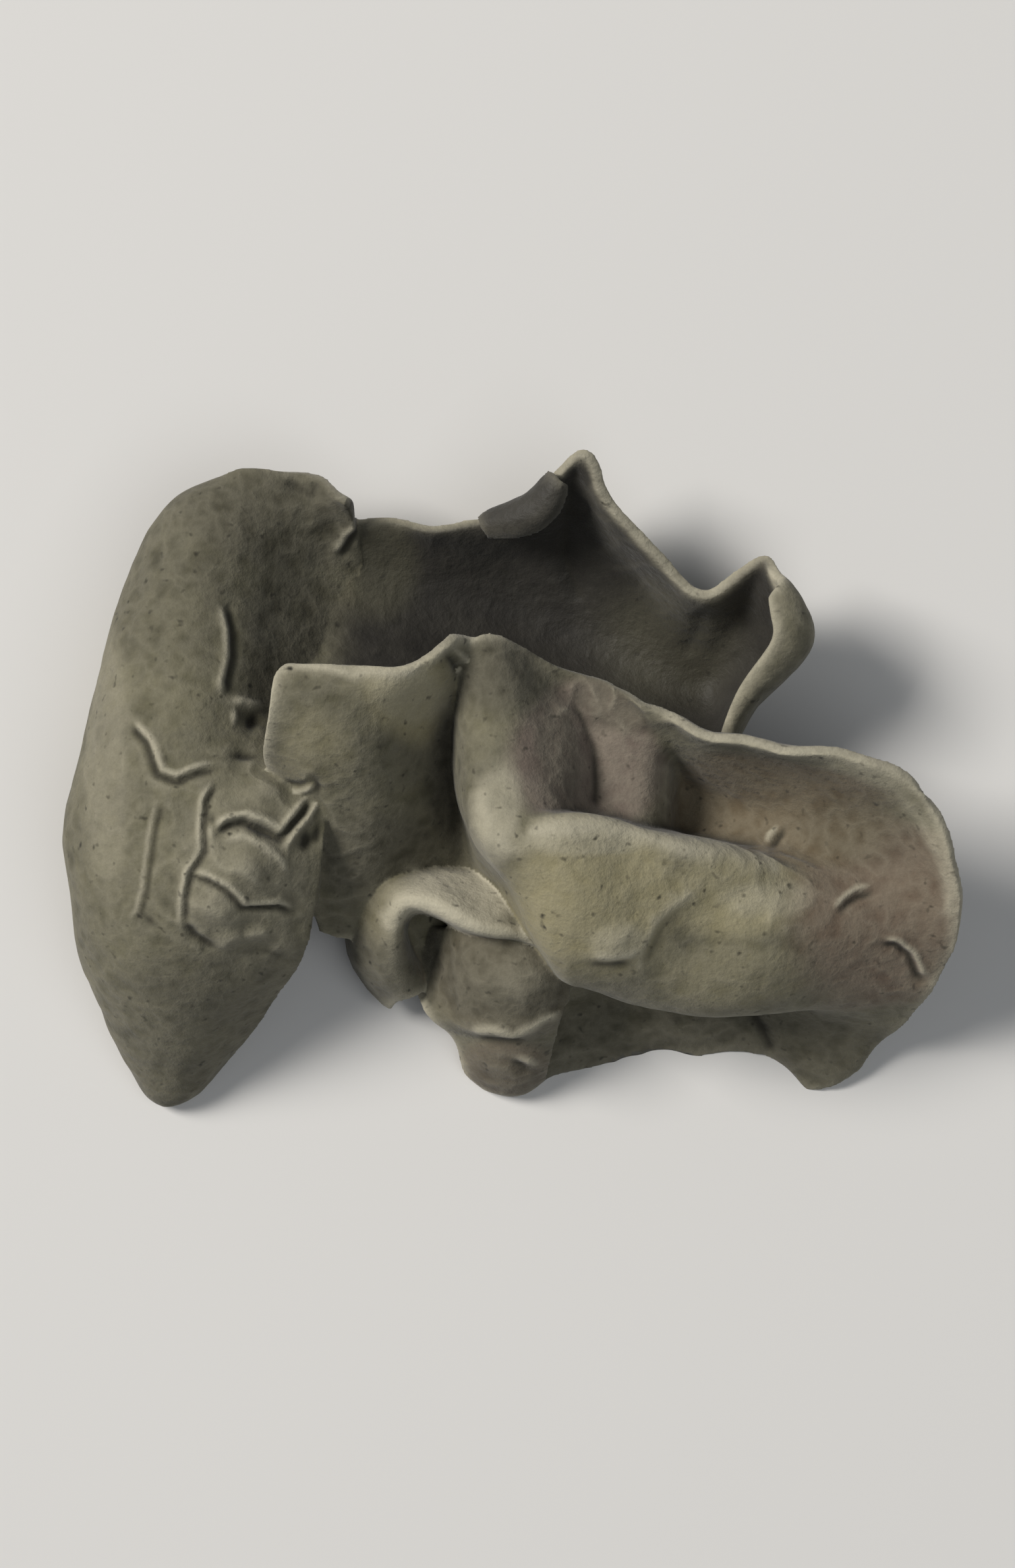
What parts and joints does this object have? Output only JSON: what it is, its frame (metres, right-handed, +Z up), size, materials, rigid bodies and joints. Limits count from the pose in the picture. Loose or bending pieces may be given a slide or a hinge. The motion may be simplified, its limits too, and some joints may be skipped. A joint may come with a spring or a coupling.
{
  "type": "dried wood ear mushroom",
  "caption": "Dried wood ear mushroom: one curled, leathery fruit body with an ear-shaped lobe, a folded bowl and a dark cupped lobe, lying on its edges.",
  "frame": {"origin": "middle of the bounding box, on the table that the mushroom lies on", "axes": "+Z up from the table; +X along the longest extent, from the ear lobe to the bowl; +Y from the hem to the crown cup"},
  "size_m": [0.0463, 0.0345, 0.0151],
  "materials": {
    "dried_flesh": "matt and velvety grey olive tan on the outer side, near black brown on the inner side, pale along the rims and creases"
  },
  "bodies": {
    "root": {"wood_ear": "dried_flesh"}
  },
  "joints": []
}
